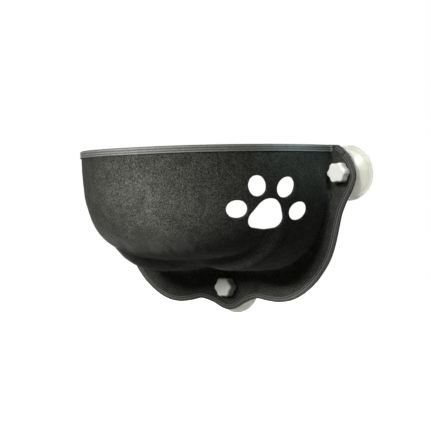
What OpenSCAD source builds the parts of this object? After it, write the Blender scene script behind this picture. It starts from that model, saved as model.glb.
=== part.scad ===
// Window mounted cat perch: a moulded felt pod held to the glass by three suction cups.
// X runs right along the window, Y runs into the glass (the glass face is y = 0), Z is up.
// The origin is on the glass, at the centre of the lower cup. Sizes are in millimetres.

/* [Bowl] */
// Width of the bowl's mouth where it meets the flange
bowl_w = 428; // [380:1:440]
// Reach of the rim, out from the front of the flange
bowl_reach = 268; // [200:1:320]
// Depth of the front of the bowl
bowl_depth = 187; // [150:1:200]
// Roundness of the bowl seen from above: 2 is an ellipse, higher is squarer
plan_power = 2.3; // [2:0.1:3]
// Roundness of the bowl's lower corner: higher is squarer
wall_power = 3.8; // [2.5:0.1:5]
// Share by which the wall narrows from the rim to the bottom
wall_draft = 0.03; // [0:0.01:0.08]
// How much lower the rear of the bowl hangs on each side
lobe_drop = 25; // [0:1:30]
// Half width of the arch between the two rear lobes
arch_w = 58; // [30:1:80]
// Share of the lobes' drop that the arch takes away
arch_share = 0.62; // [0:0.01:0.9]

/* [Shell board] */
// Thickness of the felt faced foam board
board_t = 5; // [3:0.5:8]
// Radius of the fillet from the bowl into the flange, at the ears
ear_fillet_r = 6; // [5:0.5:7]
// Radius of the same fillet below the bowl
low_fillet_r = 20; // [8:1:26]

/* [Binding tape] */
// Thickness of the tape
tape_t = 0.8; // [0.5:0.1:1.5]
// Height of the tape down from the rim
rim_tape_h = 11; // [6:0.5:16]
// Width of the tape in from the edge of the flange
flange_tape_w = 8; // [5:0.5:12]

/* [Fastening points] */
// Distance of each upper knob from the middle
knob_x = 234; // [233:0.5:238]
// Height of the upper knobs below the rim
upper_drop = 46.6; // [40:0.1:55]
// Height of the lower knob below the rim
lower_drop = 237; // [235:0.5:240]

/* [Suction cup] */
// Radius of the cup's lip
cup_r = 46.5; // [38:0.5:46.5]
// Height of the cup, glass to the top of its boss
cup_h = 18.5; // [16:0.5:24]
// Radius of the boss that carries the stud
boss_r = 13; // [11:0.5:15]

/* [Stud, nut and washers] */
// Radius of the stud's thread
stud_r = 4; // [3:0.5:4]
// Radial clearance between the stud and the nut
thread_gap = 0.05; // [0.02:0.01:0.1]
// Pitch of the thread
thread_pitch = 1.25; // [1:0.05:1.5]
// Radius of the washers
washer_r = 12; // [10:0.5:12]
// Thickness of the washers
washer_t = 1.5; // [1:0.1:2]
// Width of the nut across its flats
nut_af = 13; // [11:0.5:14]
// Height of the nut
nut_h = 6.5; // [5:0.5:7]

/* [Knob] */
// Radius of the knob over its lobes
knob_r = 17.4; // [15:0.1:18]
// Height of the knob
knob_h = 18; // [17:0.5:28]
// Number of lobes
knob_lobes = 6; // [5:1:8]
// Depth of the hollows between the lobes
knob_hollow = 2.1; // [0.5:0.1:2.5]
// Radius of those hollows
knob_hollow_r = 22; // [18:1:32]
// Height of the rounded edge round the knob's face
knob_bevel = 3; // [1:0.5:4]

/* [Paw cut-outs] */
// Middle of the right cut-out: right of centre, out from the glass, below the rim
paw_at = [178, 171.5, 102.5];
// Direction that the cut-out faces, round from straight out
paw_turn = 65.5; // [60:0.5:70]
// Angle by which it faces down
paw_tip = 18; // [10:0.5:25]

/* [Detail] */
// Columns of facets across the shell, an even number
columns = 72; // [36:2:96]
// Rows of facets down the bowl's wall
wall_rows = 24; // [14:1:26]
// Rows of facets round the fillet
fillet_rows = 4; // [2:1:8]

/* [Hidden] */
$fn = 64;

half_w = bowl_w / 2;
rim_z = lower_drop;
upper_z = rim_z - upper_drop;
back_washer_y = cup_h;
board_back_y = back_washer_y + washer_t;
board_front_y = board_back_y + board_t;
gap = 0.05;
front_washer_y = board_front_y + gap;
knob_y = front_washer_y + washer_t;

// Where the rear lobes fade out, as distances in front of the flange
lobe_full_to = 98;
lobe_gone_at = 130;

// Hole and pocket sizes
board_hole_r = stud_r + 0.6;
washer_hole_r = stud_r + 0.3;
knob_bore_r = stud_r + 0.4;
knob_bore_top = knob_h - 3;
nut_recess = 1.5;
nut_r = nut_af / sqrt(3);
nut_fit = 0.02;
// How far the knob's face is drawn in, as a share of the bevel's height
knob_face_in = 0.8;

// Stud: disc head inside the cup, then a plain shaft the size of the thread
stud_head_r = 9;
stud_head_t = 2.5;
stud_head_y = 5;
stud_end_y = knob_y + knob_h - 5;
moulded_gap = 0.02;
foot_chamfer = 0.8;

// Suction cup: the lip lies flat on the glass and the middle is a shallow dish
lip_in_r = 30;
lip_t = 1.4;
ring_r = cup_r - 4.5;
dish_h = 2.4;

// Right half of the flange's edge below the rim, from the bowl round the ear to the tip
edge_points = [[214, 0], [224, 0], [235, -5.5], [245.5, -17], [255, -34], [259.2, -53],
    [253, -72], [241, -93], [230.5, -115], [223.5, -140], [216.5, -165], [207, -189],
    [192.5, -211], [173.5, -232], [150.5, -249], [128, -259], [104, -262.5], [80, -260],
    [58, -256.5], [34, -263], [14, -273], [0, -276], [-14, -273]];
edge_steps = 6;
// The edge is read by its direction from this point below the middle of the rim
edge_eye = -100;

// A point on a smooth curve through p1 and p2, with their neighbours
function through(p0, p1, p2, p3, f) =
    0.5 * (2 * p1 + (p2 - p0) * f + (2 * p0 - 5 * p1 + 4 * p2 - p3) * f * f
        + (3 * p1 - p0 - 3 * p2 + p3) * f * f * f);
edge_curve = [for (i = [1:len(edge_points) - 3], s = [0:edge_steps - 1])
    through(edge_points[i - 1], edge_points[i], edge_points[i + 1], edge_points[i + 2], s / edge_steps)];
edge_table_x = [for (p = edge_curve) [-atan2(p[1] - edge_eye, p[0]), p[0]],
    [90, 0]];
edge_table_z = [for (p = edge_curve) [-atan2(p[1] - edge_eye, p[0]), p[1]],
    [90, edge_points[len(edge_points) - 2][1]]];

function unit(v) = v / norm(v);
function smooth(f) = let (c = max(0, min(1, f))) c * c * (3 - 2 * c);
function fillet_r(b) = ear_fillet_r + (low_fillet_r - ear_fillet_r) * pow(sin(b), 2);

// The wall's outer face: b runs 0 to 180 from the right end of the rim to the left,
// a runs 0 to 90 from the rim to the flange. The result is [right, out of the flange, up from the rim].
function wall(b, a) =
    let (cx = cos(b), cd = sin(b) * cos(a), cz = sin(b) * sin(a),
        plan = pow(pow(abs(cx), plan_power) + pow(abs(cd), plan_power), wall_power / plan_power),
        r = pow(plan + pow(abs(cz), wall_power), -1 / wall_power),
        depth = cz * r,
        narrow = 1 - wall_draft * depth,
        fr = fillet_r(b),
        x = half_w * cx * r * narrow,
        d = fr + (bowl_reach - fr) * cd * r * narrow,
        near = 1 - smooth((d - lobe_full_to) / (lobe_gone_at - lobe_full_to)),
        drop = lobe_drop * (1 - arch_share * exp(-pow(x / arch_w, 2))) * near * pow(depth, 3))
    [x, d, -bowl_depth * depth - drop];

// Outward directions of the wall, of the rim and of the line where the wall meets the fillet
eps = 0.4;
function wall_dir(b, a) =
    unit(cross(wall(b, a + eps) - wall(b, a - eps), wall(b + eps, a) - wall(b - eps, a)));
function rim_dir(b) = b < 1 ? [1, 0, 0] : b > 179 ? [-1, 0, 0] :
    let (t = wall(b + eps, 0) - wall(b - eps, 0)) unit([t[1], -t[0], 0]);
function foot_dir(b) = b < 1 ? [1, 0, 0] : b > 179 ? [-1, 0, 0] :
    let (t = wall(b + eps, 90) - wall(b - eps, 90)) unit([-t[2], 0, t[0]]);

// Every row of the shell's front face is a list of [point, outward direction]
function wall_row(a) = [for (i = [0:columns]) let (b = 180 * i / columns)
    i == 0 ? [wall(0, 0), [1, 0, 0]] : i == columns ? [wall(180, 0), [-1, 0, 0]] :
    [wall(b, a), a == 0 ? rim_dir(b) : a == 90 ? foot_dir(b) : wall_dir(b, a)]];
function fillet_at(b, turn) =
    let (n = foot_dir(b), p = wall(b < 1 ? 0 : b > 179 ? 180 : b, 90), r = fillet_r(b),
        e = r * (1 - cos(turn)))
    [[p[0] + n[0] * e, r * (1 - sin(turn)), p[2] + n[2] * e],
        [n[0] * cos(turn), sin(turn), n[2] * cos(turn)]];
function edge_at(b) =
    let (p = fillet_at(b, 90)[0], key = -atan2(p[2] - edge_eye, abs(p[0])))
    [(p[0] < 0 ? -1 : 1) * lookup(key, edge_table_x), 0, lookup(key, edge_table_z)];

face_rows = [
    for (j = [0:wall_rows]) wall_row(90 * j / wall_rows),
    for (j = [1:fillet_rows]) [for (i = [0:columns]) fillet_at(180 * i / columns, 90 * j / fillet_rows)],
    [for (i = [0:columns]) [edge_at(180 * i / columns), [0, 1, 0]]]];

// From [right, out of the flange, up from the rim] to the part's own frame
function place(p) = [p[0], -board_front_y - p[1], rim_z + p[2]];

// Closed skin from a grid of front points and a grid of back points. The wall's rows share
// their first and their last point, so facets that would have no width are left out.
module thick_sheet(front, back, shared_rows) {
    rows = len(front);
    cols = len(front[0]);
    count = rows * cols;
    points = concat([for (r = front, p = r) p], [for (r = back, p = r) p]);
    function at(j, i, side) =
        side * count + (((i == 0 || i == cols - 1) && j < shared_rows) ? i : j * cols + i);
    function quad(a, b, c, d) = [if (a != b && b != c && a != c) [a, b, c],
        if (a != c && c != d && a != d) [a, c, d]];
    skin = [for (j = [0:rows - 2], i = [0:cols - 2]) each concat(
        quad(at(j, i, 0), at(j, i + 1, 0), at(j + 1, i + 1, 0), at(j + 1, i, 0)),
        quad(at(j, i, 1), at(j + 1, i, 1), at(j + 1, i + 1, 1), at(j, i + 1, 1)))];
    top = [for (i = [0:cols - 2])
        each quad(at(0, i, 0), at(0, i, 1), at(0, i + 1, 1), at(0, i + 1, 0))];
    bottom = [for (i = [0:cols - 2])
        each quad(at(rows - 1, i, 0), at(rows - 1, i + 1, 0), at(rows - 1, i + 1, 1), at(rows - 1, i, 1))];
    right = [for (j = [0:rows - 2])
        each quad(at(j, 0, 0), at(j + 1, 0, 0), at(j + 1, 0, 1), at(j, 0, 1))];
    left = [for (j = [0:rows - 2])
        each quad(at(j, cols - 1, 0), at(j, cols - 1, 1), at(j + 1, cols - 1, 1), at(j + 1, cols - 1, 0))];
    polyhedron(points, concat(skin, top, bottom, right, left), convexity = 10);
}

// Paw cut-out: toes are [right, up, half length, half width, angle] round the middle,
// and the pad is the outline round three circles
toes = [[-50, -2.5, 18.4, 15.2, -8], [-18, 36, 17.9, 16.1, 135], [38, 32.5, 19.4, 16.7, 14],
    [68.5, -8.5, 21, 15.8, -4]];
pad_circles = [[7, -10.5, 27], [-12.5, -18, 16.5], [20, -18.5, 17.5]];
paw_reach = 30;

module paw_outline() {
    for (t = toes) translate([t[0], t[1]]) rotate(t[4]) scale([t[2], t[3]]) circle(1, $fn = 32);
    hull() for (c = pad_circles) translate([c[0], c[1]]) circle(c[2], $fn = 32);
}

module paw_cut() {
    translate([paw_at[0], -paw_at[1], rim_z - paw_at[2]])
        rotate([0, 0, paw_turn]) rotate([90 + paw_tip, 0, 0])
        translate([0, 0, -paw_reach]) linear_extrude(2 * paw_reach) paw_outline();
}

// Puts a thing turned about Z, drawn with the glass at z = 0, on a fastening point
module on_glass(at) translate([at[0], 0, at[1]]) rotate([90, 0, 0]) children();
upper_left = [-knob_x, upper_z];
upper_right = [knob_x, upper_z];
lower = [0, 0];

module pod_shell() {
    color([0.17, 0.18, 0.17]) difference() {
        thick_sheet([for (r = face_rows) [for (q = r) place(q[0])]],
            [for (r = face_rows) [for (q = r) place(q[0] - board_t * q[1])]], wall_rows + 1);
        for (at = [upper_left, upper_right, lower])
            on_glass(at) cylinder(r = board_hole_r, h = board_front_y + board_t);
        paw_cut();
        mirror([1, 0, 0]) paw_cut();
    }
}

// The tape's section, as [outward, up over the edge]: one leg on the front face, one on the back.
// Points 0 to 5 go round the outside and 6 to 9 come back inside, next to the board.
function tape_section(leg) = [[tape_t, -leg], [tape_t, 0.4 * tape_t], [0.4 * tape_t, tape_t],
    [-board_t - 0.4 * tape_t, tape_t], [-board_t - tape_t, 0.4 * tape_t], [-board_t - tape_t, -leg],
    [-board_t, -leg], [-board_t, 0], [0, 0], [0, -leg]];
tape_end = [[0, 8, 1], [0, 9, 8], [1, 8, 2], [2, 7, 3], [2, 8, 7], [3, 7, 4], [4, 6, 5], [4, 7, 6]];

// The folded tape, closed at both ends, from its section at each station
module tape(rings) {
    n = len(rings[0]);
    last = len(rings) - 1;
    sides = [for (j = [0:last - 1], i = [0:n - 1]) let (k = (i + 1) % n) each [
        [j * n + i, j * n + k, (j + 1) * n + k], [j * n + i, (j + 1) * n + k, (j + 1) * n + i]]];
    polyhedron([for (r = rings, p = r) p], concat(sides, tape_end,
        [for (f = tape_end) [last * n + f[2], last * n + f[1], last * n + f[0]]]), convexity = 10);
}

module rim_binding() {
    leg = rim_tape_h;
    // Each station is [point on the rim's outer edge, outward direction]
    stations = concat([for (j = [fillet_rows:-1:1]) fillet_at(0, 90 * j / fillet_rows)],
        [for (i = [0:columns]) let (b = 180 * i / columns) [wall(b, 0), rim_dir(b)]],
        [for (j = [1:fillet_rows]) fillet_at(180, 90 * j / fillet_rows)]);
    color([0.36, 0.38, 0.38]) tape([for (s = stations)
        [for (q = tape_section(leg))
            let (inward = wall_draft * max(0, -q[1]) / bowl_depth * abs(s[0] * s[1]), out = q[0] - inward)
            place([s[0][0] + s[1][0] * out, s[0][1] + s[1][1] * out, s[0][2] + q[1]])]]);
}

module flange_binding() {
    leg = flange_tape_w;
    path = concat([fillet_at(0, 90)[0]], [for (i = [0:columns]) edge_at(180 * i / columns)],
        [fillet_at(180, 90)[0]]);
    last = len(path) - 1;
    color([0.36, 0.38, 0.38]) tape([for (i = [0:last])
        let (t = unit(path[min(last, i + 1)] - path[max(0, i - 1)]),
            out = (i == 0 || i == last) ? [0, 0, 1] : [-t[2], 0, t[0]])
        [for (q = tape_section(leg)) place(path[i] + out * q[1] + [0, q[0], 0])]]);
}

module suction_cup(at) {
    color([0.87, 0.87, 0.82]) on_glass(at) difference() {
        rotate_extrude($fn = 96) polygon([[0, dish_h], [12, dish_h], [24, 1.2], [lip_in_r, 0], [cup_r, 0],
            [cup_r, 0.7], [ring_r, lip_t], [ring_r - 1, lip_t + 1.6], [ring_r - 3, lip_t + 2.6],
            [35, 0.32 * cup_h], [28, 0.46 * cup_h], [21, 0.62 * cup_h], [16.5, 0.78 * cup_h],
            [boss_r + 1, 0.9 * cup_h], [boss_r, 0.96 * cup_h], [boss_r - 1, cup_h], [0, cup_h]]);
        translate([0, 0, stud_head_y - moulded_gap])
            cylinder(r = stud_head_r + moulded_gap, h = stud_head_t + 2 * moulded_gap);
        translate([0, 0, stud_head_y]) cylinder(r = stud_r + moulded_gap, h = cup_h);
    }
}

module cup_stud(at) {
    color([0.75, 0.76, 0.78]) on_glass(at) rotate_extrude() polygon([
        [0, stud_head_y], [stud_head_r, stud_head_y],
        [stud_head_r, stud_head_y + stud_head_t], [stud_r, stud_head_y + stud_head_t],
        [stud_r, stud_end_y - foot_chamfer], [stud_r - foot_chamfer, stud_end_y], [0, stud_end_y]]);
}

module washer(at, from) {
    color([0.70, 0.71, 0.72]) on_glass(at) translate([0, 0, from]) difference() {
        cylinder(r = washer_r, h = washer_t);
        translate([0, 0, -1]) cylinder(r = washer_hole_r, h = washer_t + 2);
    }
}

// Closed knob: a round blank with a rounded face, hollowed between the lobes, bored for the stud and the nut
module knob(at) {
    color([0.90, 0.90, 0.85]) on_glass(at) translate([0, 0, knob_y]) difference() {
        rotate_extrude($fn = 96) polygon([[0, 0], [knob_r - foot_chamfer, 0], [knob_r, foot_chamfer],
            for (f = [0:15:90]) [knob_r - knob_bevel * knob_face_in * (1 - cos(f)),
                knob_h - knob_bevel * (1 - sin(f))],
            [0, knob_h]]);
        for (i = [0:knob_lobes - 1]) rotate([0, 0, (i + 0.5) * 360 / knob_lobes])
            translate([knob_r + knob_hollow_r - knob_hollow, 0, -1])
                cylinder(r = knob_hollow_r, h = knob_h + 2);
        translate([0, 0, -1]) cylinder(r = knob_bore_r, h = knob_bore_top + 1);
        translate([0, 0, nut_recess - nut_fit])
            cylinder(r = nut_r + nut_fit, h = nut_h + 2 * nut_fit, $fn = 6);
    }
}

module knob_nut(at) {
    color([0.72, 0.60, 0.35]) on_glass(at) translate([0, 0, knob_y + nut_recess]) difference() {
        cylinder(r = nut_r, h = nut_h, $fn = 6);
        translate([0, 0, -1]) cylinder(r = stud_r + thread_gap, h = nut_h + 2);
    }
}

pod_shell();
rim_binding();
flange_binding();
suction_cup(upper_left);  // suction_cup_upper_left
suction_cup(upper_right);  // suction_cup_upper_right
suction_cup(lower);  // suction_cup_lower
cup_stud(upper_left);  // cup_stud_upper_left
cup_stud(upper_right);  // cup_stud_upper_right
cup_stud(lower);  // cup_stud_lower
washer(upper_left, back_washer_y);  // back_washer_upper_left
washer(upper_right, back_washer_y);  // back_washer_upper_right
washer(lower, back_washer_y);  // back_washer_lower
washer(upper_left, front_washer_y);  // front_washer_upper_left
washer(upper_right, front_washer_y);  // front_washer_upper_right
washer(lower, front_washer_y);  // front_washer_lower
knob(upper_left);  // knob_upper_left
knob(upper_right);  // knob_upper_right
knob(lower);  // knob_lower
knob_nut(upper_left);  // knob_nut_upper_left
knob_nut(upper_right);  // knob_nut_upper_right
knob_nut(lower);  // knob_nut_lower
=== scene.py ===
import math
import bmesh
import bpy
import numpy as np
from mathutils import Matrix, Vector


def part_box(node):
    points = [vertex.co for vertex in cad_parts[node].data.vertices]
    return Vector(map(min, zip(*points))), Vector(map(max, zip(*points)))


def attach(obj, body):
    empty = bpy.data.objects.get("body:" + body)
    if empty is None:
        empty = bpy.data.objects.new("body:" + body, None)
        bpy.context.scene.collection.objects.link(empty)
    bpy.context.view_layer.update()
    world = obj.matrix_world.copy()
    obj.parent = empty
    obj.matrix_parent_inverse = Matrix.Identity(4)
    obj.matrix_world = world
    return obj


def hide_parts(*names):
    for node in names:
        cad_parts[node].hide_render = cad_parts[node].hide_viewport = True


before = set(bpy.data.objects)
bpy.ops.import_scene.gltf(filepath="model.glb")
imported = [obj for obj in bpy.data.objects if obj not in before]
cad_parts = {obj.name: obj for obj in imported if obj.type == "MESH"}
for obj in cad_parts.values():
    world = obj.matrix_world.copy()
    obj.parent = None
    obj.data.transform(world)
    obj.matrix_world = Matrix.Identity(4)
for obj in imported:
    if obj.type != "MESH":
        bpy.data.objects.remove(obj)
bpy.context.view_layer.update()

scene = bpy.context.scene
mm = 0.001
places = ["upper_left", "upper_right", "lower"]


def addObject(name, data):
    obj = bpy.data.objects.new(name, data)
    scene.collection.objects.link(obj)
    return obj


# Camera: level with the bowl, 34.5 degrees round to the right, through a long lens
camera = {
    "aim": (0, 4), "distance": 3000, "azimuth": 34.5, "height": 128,  # where it stands, in millimetres
    "yaw": 35.213, "pitch": -0.053, "roll": -1.4,  # which way it faces
    "focalPixels": 1709, "imagePixels": 430, "sensor": 36,
}


def addCamera(c):
    data = bpy.data.cameras.new("camera")
    data.sensor_width = c["sensor"]
    data.lens = c["focalPixels"] / c["imagePixels"] * c["sensor"]
    azimuth, yaw, pitch, roll = [math.radians(c[k]) for k in ("azimuth", "yaw", "pitch", "roll")]
    at = np.array([c["aim"][0] + c["distance"] * math.sin(azimuth),
                   c["aim"][1] - c["distance"] * math.cos(azimuth), c["height"]])
    ahead = np.array([-math.sin(yaw) * math.cos(pitch), math.cos(yaw) * math.cos(pitch), math.sin(pitch)])
    level = np.array([math.cos(yaw), math.sin(yaw), 0])
    upward = np.cross(level, ahead)
    right = level * math.cos(roll) + upward * math.sin(roll)
    top = upward * math.cos(roll) - level * math.sin(roll)
    obj = addObject("camera", data)
    obj.matrix_world = Matrix([[right[i], top[i], -ahead[i], at[i] * mm] for i in range(3)] + [[0, 0, 0, 1]])
    scene.camera = obj


addCamera(camera)


# The pod, in millimetres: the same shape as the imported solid
pod = {
    "bowlW": 428, "bowlReach": 268, "bowlDepth": 187, "boardT": 5, "rimZ": 237,
    "planPower": 2.3, "wallPower": 3.8, "wallDraft": 0.03,
    "lobeDrop": 25, "archW": 58, "archShare": 0.62, "lobeFullTo": 98, "lobeGoneAt": 130,
    "earFilletR": 6, "lowFilletR": 20,
    "edgeEye": -100,  # the flange's edge is read by direction from this point below the rim's middle
    "edge": [[214, 0], [224, 0], [235, -5.5], [245.5, -17], [255, -34], [259.2, -53],
             [253, -72], [241, -93], [230.5, -115], [223.5, -140], [216.5, -165], [207, -189],
             [192.5, -211], [173.5, -232], [150.5, -249], [128, -259], [104, -262.5], [80, -260],
             [58, -256.5], [34, -263], [14, -273], [0, -276], [-14, -273]],
    "edgeSteps": 24,  # from one point of the edge to the next
    "columns": 288, "wallRows": 136, "filletRows": 12, "flangeRows": 18,
    "easeRows": 8,  # over these the rim's level direction eases into the wall's own
    "waveH": 0.32, "waveLength": 46,  # the moulded face is never quite even
    "calmRim": 30, "calmFlange": 2, "calmFillet": 20,  # the waves grow over these depths and distances
    "sharpAt": 50,
}

# The paw cut-outs, drawn flat: toes are [right, up, half length, half width, angle]
paw = {
    "at": [178, 171.5, 102.5],  # right of centre, out from the glass, below the rim
    "turn": 65.5, "tip": 18,
    "toes": [[-50, -2.5, 18.4, 15.2, -8], [-18, 36, 17.9, 16.1, 135], [38, 32.5, 19.4, 16.7, 14],
             [68.5, -8.5, 21, 15.8, -4]],
    "pad": [[7, -10.5, 27], [-12.5, -18, 16.5], [20, -18.5, 17.5]],  # right, up, radius
    "reach": 45,  # how far in front of and behind its middle the cut goes
    "round": 0.4,  # small round on the edge of the cut
}
studHole = {"r": 4.6, "reach": 12, "round": 0.3}
# Cutting: directions in an outline, millimetres searched beyond it, and the rows of its round in degrees
cutting = {"directions": 360, "margin": 20, "roundTurns": (22.5, 45, 67.5, 90)}


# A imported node's middle, its distances from the glass and its radius, in millimetres
def nodeSpan(node):
    low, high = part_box(node)
    middle = ((low.x + high.x) / 2 / mm, (low.z + high.z) / 2 / mm)
    return middle, -high.y / mm, -low.y / mm, (high.x - low.x) / 2 / mm


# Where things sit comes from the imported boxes: the board's back lies on the back washers
boardT = pod["boardT"]
boardFront = nodeSpan("back_washer_lower")[2] + boardT
knobCentre = {place: nodeSpan("knob_" + place)[0] for place in places}


def smooth(f):
    c = np.clip(f, 0, 1)
    return c * c * (3 - 2 * c)


def unit(v):
    return v / np.maximum(np.linalg.norm(v, axis=-1, keepdims=True), 1e-12)


def anglesRound(count):
    return np.linspace(0, 2 * math.pi, count + 1)[:-1]


# The same ring, one step further on
def onward(ring):
    return ring[1:] + ring[:1]


def filletR(b):
    return pod["earFilletR"] + (pod["lowFilletR"] - pod["earFilletR"]) * np.sin(b) ** 2


# Outer face of the wall: b goes round from the right end of the rim, a from the rim down to the flange.
# A point is [right, out from the flange's face, up from the rim].
def wall(b, a):
    b, a = np.broadcast_arrays(np.asarray(b, float), np.asarray(a, float))
    planPower, wallPower = pod["planPower"], pod["wallPower"]
    cx, cd, cz = np.cos(b), np.sin(b) * np.cos(a), np.sin(b) * np.sin(a)
    plan = (np.abs(cx) ** planPower + np.abs(cd) ** planPower) ** (wallPower / planPower)
    r = (plan + np.abs(cz) ** wallPower) ** (-1 / wallPower)
    depth = cz * r
    narrow = 1 - pod["wallDraft"] * depth
    x = pod["bowlW"] / 2 * cx * r * narrow
    d = filletR(b) + (pod["bowlReach"] - filletR(b)) * cd * r * narrow
    near = 1 - smooth((d - pod["lobeFullTo"]) / (pod["lobeGoneAt"] - pod["lobeFullTo"]))
    drop = pod["lobeDrop"] * (1 - pod["archShare"] * np.exp(-(x / pod["archW"]) ** 2)) * near * depth ** 3
    return np.stack([x, d, -pod["bowlDepth"] * depth - drop], -1)


tiny = math.radians(0.4)  # the step that directions are read over
endAngle = math.radians(1)  # nearer than this to an end of the rim, a curve faces squarely sideways
poleAngle = math.radians(4)  # and up to here the wall turns towards that


def sideways(b):
    return np.where((b < math.pi / 2)[..., None], [1.0, 0, 0], [-1.0, 0, 0])


def squareEnds(b, n):
    return np.where((np.minimum(b, math.pi - b) < endAngle)[..., None], sideways(b), n)


def wallDir(b, a):
    b, a = np.broadcast_arrays(np.asarray(b, float), np.asarray(a, float))
    n = unit(np.cross(wall(b, a + tiny) - wall(b, a - tiny), wall(b + tiny, a) - wall(b - tiny, a)))
    share = smooth(np.minimum(b, math.pi - b) / poleAngle)[..., None]
    return unit(n * share + sideways(b) * (1 - share))


def rimDir(b):
    t = wall(b + tiny, 0) - wall(b - tiny, 0)
    return squareEnds(b, unit(np.stack([t[..., 1], -t[..., 0], 0 * t[..., 0]], -1)))


def footDir(b):
    t = wall(b + tiny, math.pi / 2) - wall(b - tiny, math.pi / 2)
    return squareEnds(b, unit(np.stack([-t[..., 2], 0 * t[..., 0], t[..., 0]], -1)))


# The round between wall and flange: its points and outward directions at one turn of it
def filletAt(b, turn):
    b = np.asarray(b, float)
    n, p, r = footDir(b), wall(b, math.pi / 2), filletR(b)
    e = r * (1 - math.cos(turn))
    at = np.stack([p[..., 0] + n[..., 0] * e, r * (1 - math.sin(turn)), p[..., 2] + n[..., 2] * e], -1)
    out = n * math.cos(turn)
    out[..., 1] = math.sin(turn)
    return at, out


# A smooth curve through all the points but the first and the last, which only steer it
def splineThrough(points, steps):
    p = np.array(points, float)
    f = np.arange(steps)[:, None] / steps
    made = []
    for i in range(1, len(p) - 2):
        p0, p1, p2, p3 = p[i - 1:i + 3]
        made.append(0.5 * (2 * p1 + (p2 - p0) * f + (2 * p0 - 5 * p1 + 4 * p2 - p3) * f * f
                           + (3 * p1 - p0 - 3 * p2 + p3) * f ** 3))
    return np.concatenate(made + [p[-2:-1]])


def edgeKey(x, z):
    return -np.degrees(np.arctan2(z - pod["edgeEye"], x))


edgeCurve = splineThrough(pod["edge"], pod["edgeSteps"])
edgeKeys = edgeKey(edgeCurve[:, 0], edgeCurve[:, 1])


def edgeAt(b):
    p = filletAt(b, math.pi / 2)[0]
    key = edgeKey(np.abs(p[..., 0]), p[..., 2])
    x = np.interp(key, edgeKeys, edgeCurve[:, 0]) * np.where(p[..., 0] < 0, -1, 1)
    return np.stack([x, 0 * x, np.interp(key, edgeKeys, edgeCurve[:, 1])], -1)


# From [right, out, up from the rim] to the frame's own axes, still in millimetres
def toFrame(p):
    return np.stack([p[..., 0], -boardFront - p[..., 1], pod["rimZ"] + p[..., 2]], -1)


# The front face as a grid of points and outward directions
def shellGrid():
    b = np.linspace(0, math.pi, pod["columns"] + 1)
    downs = [math.pi / 2 * j / pod["wallRows"] for j in range(pod["wallRows"] + 1)]
    rows = [wall(b, a) for a in downs]
    dirs = [rimDir(b)] + [wallDir(b, a) for a in downs[1:-1]] + [footDir(b)]
    for j in range(1, pod["easeRows"]):
        share = smooth(j / pod["easeRows"])
        dirs[j] = unit(dirs[0] * (1 - share) + dirs[j] * share)
    for j in range(1, pod["filletRows"] + 1):
        at, out = filletAt(b, math.pi / 2 * j / pod["filletRows"])
        rows.append(at)
        dirs.append(out)
    foot, edge = rows[-1], edgeAt(b)
    for j in range(1, pod["flangeRows"] + 1):
        f = j / pod["flangeRows"]
        rows.append(foot * (1 - f) + edge * f)
        dirs.append(np.broadcast_to([0.0, 1.0, 0.0], foot.shape))
    return np.array(rows), np.array(dirs)


# Slow unevenness of the moulded felt, none of it at the rim, the edge or the fastenings
def waves(p):
    x, y, z = np.moveaxis(p, -1, 0) * (2 * math.pi / pod["waveLength"])
    w = (np.sin(x * 0.83 + 1.3 * np.sin(z * 0.7 + 0.4) + 0.6) * np.sin(z * 1.07 + 0.9 * np.sin(y * 0.8))
         + 0.6 * np.sin(y * 1.31 + 0.8 * np.sin(x * 0.61 + 2.0) + 1.1) * np.sin(x * 1.9 + z * 1.4 + 0.3)
         + 0.35 * np.sin(x * 3.1 + y * 2.3 + 1.7) * np.sin(z * 3.7 + y * 1.9))
    belowRim = smooth(-p[..., 2] / pod["calmRim"])
    return pod["waveH"] * w * belowRim * smooth((p[..., 1] - pod["calmFlange"]) / pod["calmFillet"])


# An outline is kept as its width in every direction round its middle, which suits any convex shape
directions = anglesRound(cutting["directions"])
spread = np.stack([np.cos(directions), np.sin(directions)], 1)


def ovalOutline(x, y, halfL, halfW, angle):
    turn = math.radians(angle)
    middle = np.array([x, y])
    along = spread @ np.array([math.cos(turn), math.sin(turn)])
    across = spread @ np.array([-math.sin(turn), math.cos(turn)])
    width = spread @ middle + np.sqrt((halfL * along) ** 2 + (halfW * across) ** 2)
    return {"middle": middle, "width": width}


def padOutline(circles):
    widths = [spread @ np.array([x, y]) + r for x, y, r in circles]
    middle = np.mean([[x, y] for x, y, r in circles], axis=0)
    return {"middle": middle, "width": np.max(widths, axis=0)}


def turnX(deg):
    c, s = math.cos(math.radians(deg)), math.sin(math.radians(deg))
    return np.array([[1, 0, 0], [0, c, -s], [0, s, c]])


def turnZ(deg):
    c, s = math.cos(math.radians(deg)), math.sin(math.radians(deg))
    return np.array([[c, -s, 0], [s, c, 0], [0, 0, 1]])


def opening(shape, origin, axes, own):
    return {"shape": shape, "origin": origin, "axes": axes, "reach": own["reach"], "round": own["round"]}


# Every opening through the board: its outline and the axes of the plane that it is drawn in
def openingsThrough():
    axes = turnZ(paw["turn"]) @ turnX(90 + paw["tip"])
    right, out, down = paw["at"]
    origin = np.array([right, -out, pod["rimZ"] - down])
    shapes = [ovalOutline(*toe) for toe in paw["toes"]] + [padOutline(paw["pad"])]
    found = []
    for side in (1, -1):
        flip = np.array([side, 1, 1])
        found += [opening(shape, origin * flip, axes * flip[:, None], paw) for shape in shapes]
    hole = ovalOutline(0, 0, studHole["r"], studHole["r"], 0)
    for x, z in knobCentre.values():
        found.append(opening(hole, np.array([x, -boardFront, z]), turnX(90), studHole))
    return found


def flatten(points, cut):
    return (points - cut["origin"]) @ cut["axes"]


# Distance outside the outline with its round, less than zero inside it
def outside(flat, cut):
    return np.max(flat[:, :2] @ spread.T - (cut["shape"]["width"] + cut["round"])[None, :], axis=1)


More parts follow.
